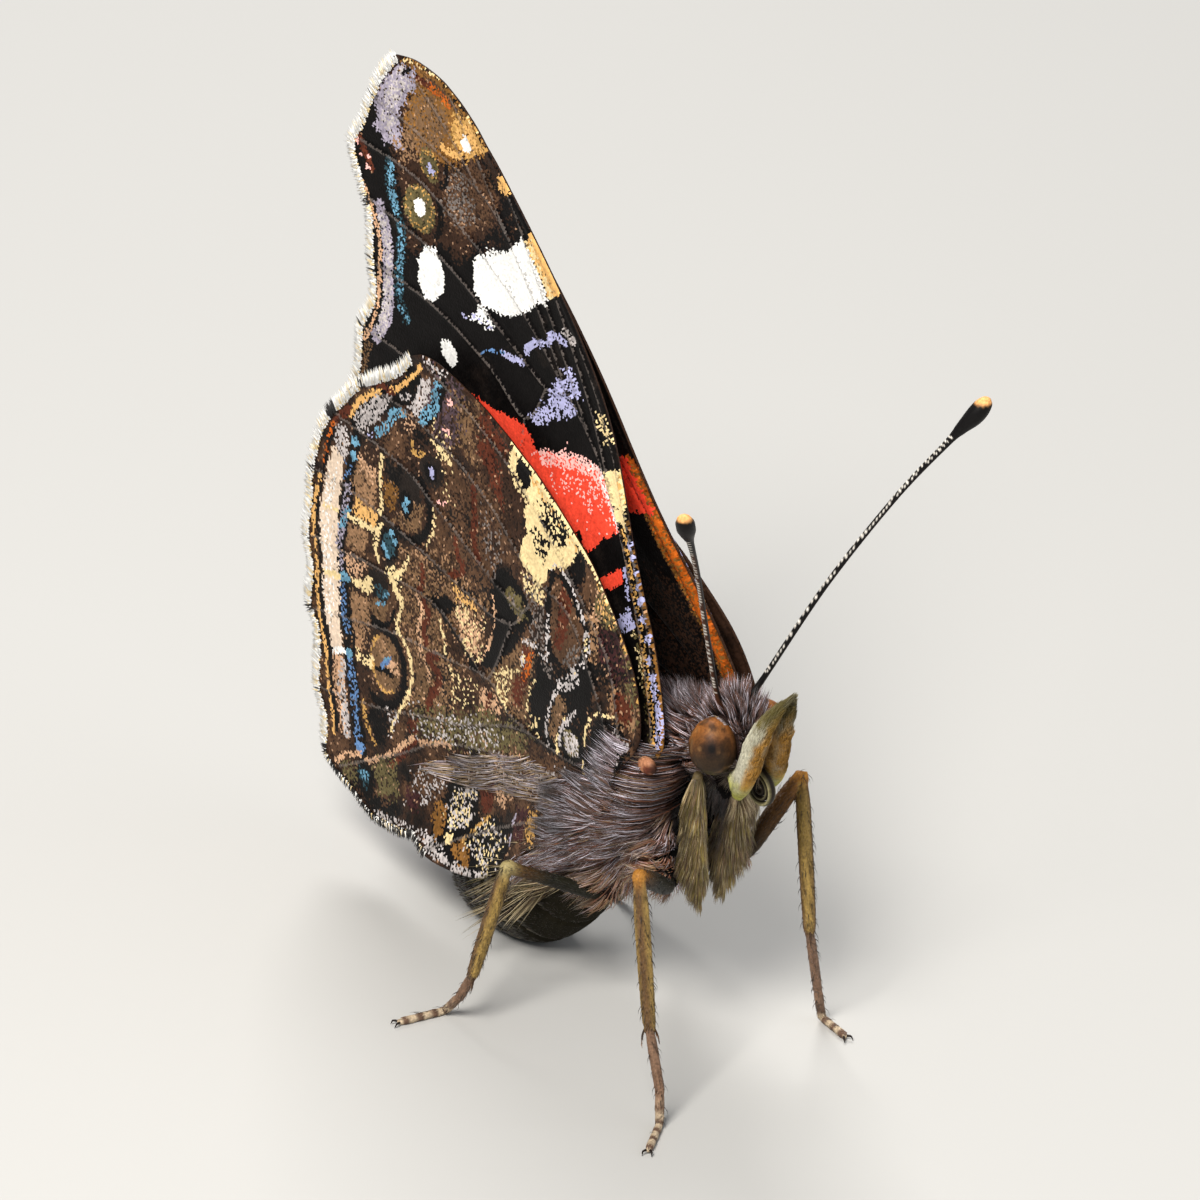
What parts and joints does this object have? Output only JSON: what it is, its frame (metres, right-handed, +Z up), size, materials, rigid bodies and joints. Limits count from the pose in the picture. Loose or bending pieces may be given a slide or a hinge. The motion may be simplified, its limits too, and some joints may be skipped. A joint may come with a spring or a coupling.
{
  "type": "butterfly",
  "caption": "Life-size red admiral butterfly at rest, wings closed over its back, showing the mottled undersides, furry body, bulging eyes and clubbed feelers.",
  "frame": {"origin": "centre of the bounding box in X and Y, at the floor that the feet stand on", "axes": "+X to the animal's left, +Y to its tail end, +Z up"},
  "size_m": [0.0168, 0.0312, 0.0367],
  "materials": {
    "fur": "long soft purplish-brown fur with lilac-white tips",
    "abdomen": "dark olive-black scales with cream flecks",
    "tongue": "dark shiny coil with pale edges",
    "eye": "orange-brown faceted dome, glossy, with dark mottles",
    "palp": "dense whitish and golden scales and hairs",
    "antenna": "black with fine white rings and an orange tip",
    "brush": "long khaki and cream hair",
    "forewing": "fine scales: black, white patches, a scarlet band and a brown tip",
    "hindwing": "fine scales: marbled dark browns with cream, blue and lilac marks",
    "femur": "dark scales, paler at the knee",
    "leg": "golden-brown scales with dark specks and short spines"
  },
  "bodies": {
    "root": {"head": "fur", "thorax": "fur", "abdomen": "abdomen", "proboscis": "tongue", "eye_left": "eye", "eye_right": "eye", "palp_left": "palp", "palp_right": "palp", "antenna_left": "antenna", "antenna_right": "antenna", "foreleg_left": "brush", "foreleg_right": "brush", "forewing_left": "forewing", "forewing_right": "forewing", "hindwing_left": "hindwing", "hindwing_right": "hindwing", "mid_left_femur": "femur", "mid_left_tibia": "leg", "mid_left_tarsus": "leg", "mid_right_femur": "femur", "mid_right_tibia": "leg", "mid_right_tarsus": "leg", "hind_left_femur": "femur", "hind_left_tibia": "leg", "hind_left_tarsus": "leg", "hind_right_femur": "femur", "hind_right_tibia": "leg", "hind_right_tarsus": "leg"}
  },
  "joints": []
}
